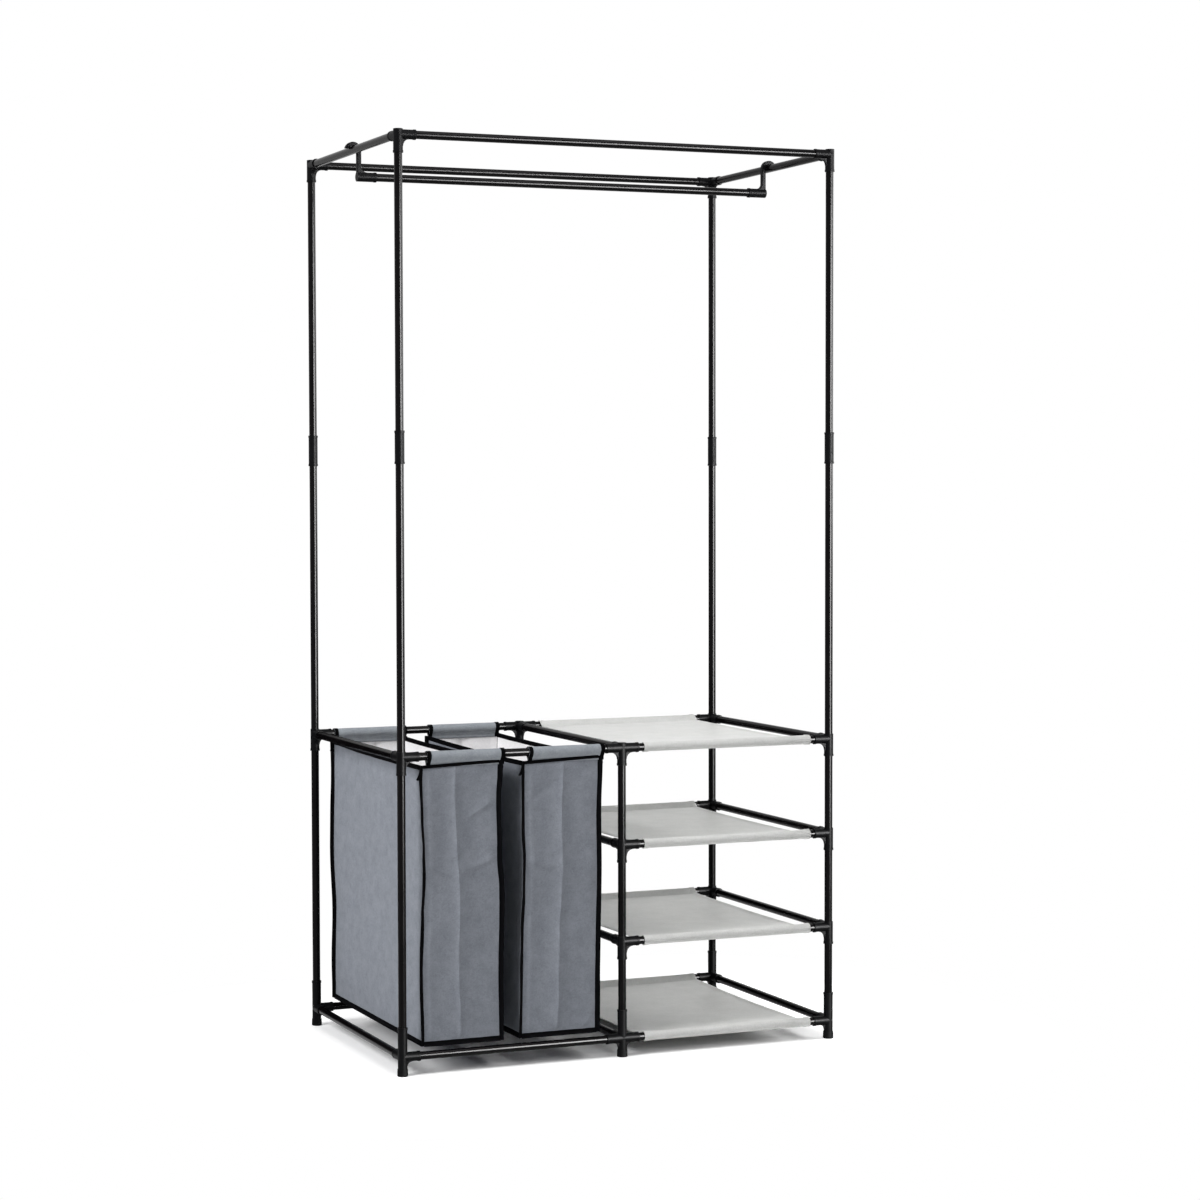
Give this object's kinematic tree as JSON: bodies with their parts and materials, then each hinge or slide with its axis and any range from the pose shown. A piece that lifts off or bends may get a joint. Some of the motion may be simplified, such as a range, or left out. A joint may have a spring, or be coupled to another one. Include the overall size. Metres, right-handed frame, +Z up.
{
  "type": "open frame wardrobe",
  "caption": "Tall open wardrobe of black steel tubes in moulded connectors, with fabric shelves beside hanging laundry bags below and a hook-on clothes rail at the top.",
  "frame": {"origin": "on the floor in the middle of the footprint", "axes": "+Z up, +X to the right seen from the front, front at -Y"},
  "size_m": [0.9068, 0.5202, 1.7158],
  "materials": {
    "tube_steel": "gloss black",
    "connector_plastic": "satin moulded black",
    "foot_plastic": "matt moulded black",
    "shelf_fabric": "light grey non-woven",
    "bag_fabric": "mid grey non-woven",
    "bag_binding": "black woven tape"
  },
  "bodies": {
    "frame": {"bag_bay_side_tube": "tube_steel", "bag_rails": "tube_steel", "base_bay_rails": "tube_steel", "base_bay_side_tube": "tube_steel", "base_corner_back_left": "connector_plastic", "base_corner_back_right": "connector_plastic", "base_corner_front_left": "connector_plastic", "base_corner_front_right": "connector_plastic", "base_tees": "connector_plastic", "divider_post_back": "tube_steel", "divider_post_front": "tube_steel", "foot_plugs": "foot_plastic", "lower_post_back_left": "tube_steel", "lower_post_back_right": "tube_steel", "lower_post_front_left": "tube_steel", "lower_post_front_right": "tube_steel", "mid_corner_back_left": "connector_plastic", "mid_corner_back_right": "connector_plastic", "mid_corner_front_left": "connector_plastic", "mid_corner_front_right": "connector_plastic", "mid_tees": "connector_plastic", "post_couplers": "connector_plastic", "post_middle_back_left": "tube_steel", "post_middle_back_right": "tube_steel", "post_middle_front_left": "tube_steel", "post_middle_front_right": "tube_steel", "post_upper_back_left": "tube_steel", "post_upper_back_right": "tube_steel", "post_upper_front_left": "tube_steel", "post_upper_front_right": "tube_steel", "shelf_connectors_lower": "connector_plastic", "shelf_connectors_upper": "connector_plastic", "shelf_cover_base": "shelf_fabric", "shelf_cover_lower": "shelf_fabric", "shelf_cover_top": "shelf_fabric", "shelf_cover_upper": "shelf_fabric", "shelf_rails_base": "tube_steel", "shelf_rails_lower": "tube_steel", "shelf_rails_top": "tube_steel", "shelf_rails_upper": "tube_steel", "shelf_side_tubes_base": "tube_steel", "shelf_side_tubes_lower": "tube_steel", "shelf_side_tubes_top": "tube_steel", "shelf_side_tubes_upper": "tube_steel", "top_back_tube": "tube_steel", "top_corner_back_left": "connector_plastic", "top_corner_back_right": "connector_plastic", "top_corner_front_left": "connector_plastic", "top_corner_front_right": "connector_plastic", "top_front_tube": "tube_steel", "top_left_tube": "tube_steel", "top_right_tube": "tube_steel"},
    "clothes_rail": {"hanging_rail": "tube_steel", "rail_hook_left": "connector_plastic", "rail_hook_right": "connector_plastic"},
    "left_bag": {"laundry_bag_left": "bag_fabric", "laundry_bag_left_binding": "bag_binding"},
    "right_bag": {"laundry_bag_right": "bag_fabric", "laundry_bag_right_binding": "bag_binding"}
  },
  "joints": [
    {"name": "rail_slide", "type": "slide", "parent": "frame", "child": "clothes_rail", "axis": [0, 1, 0], "range_m": [-0.21, 0.21]},
    {"name": "left_bag_slide", "type": "slide", "parent": "frame", "child": "left_bag", "axis": [1, 0, 0], "range_m": [-0.0055, 0.016]},
    {"name": "right_bag_slide", "type": "slide", "parent": "frame", "child": "right_bag", "axis": [1, 0, 0], "range_m": [-0.016, 0.0045]}
  ]
}
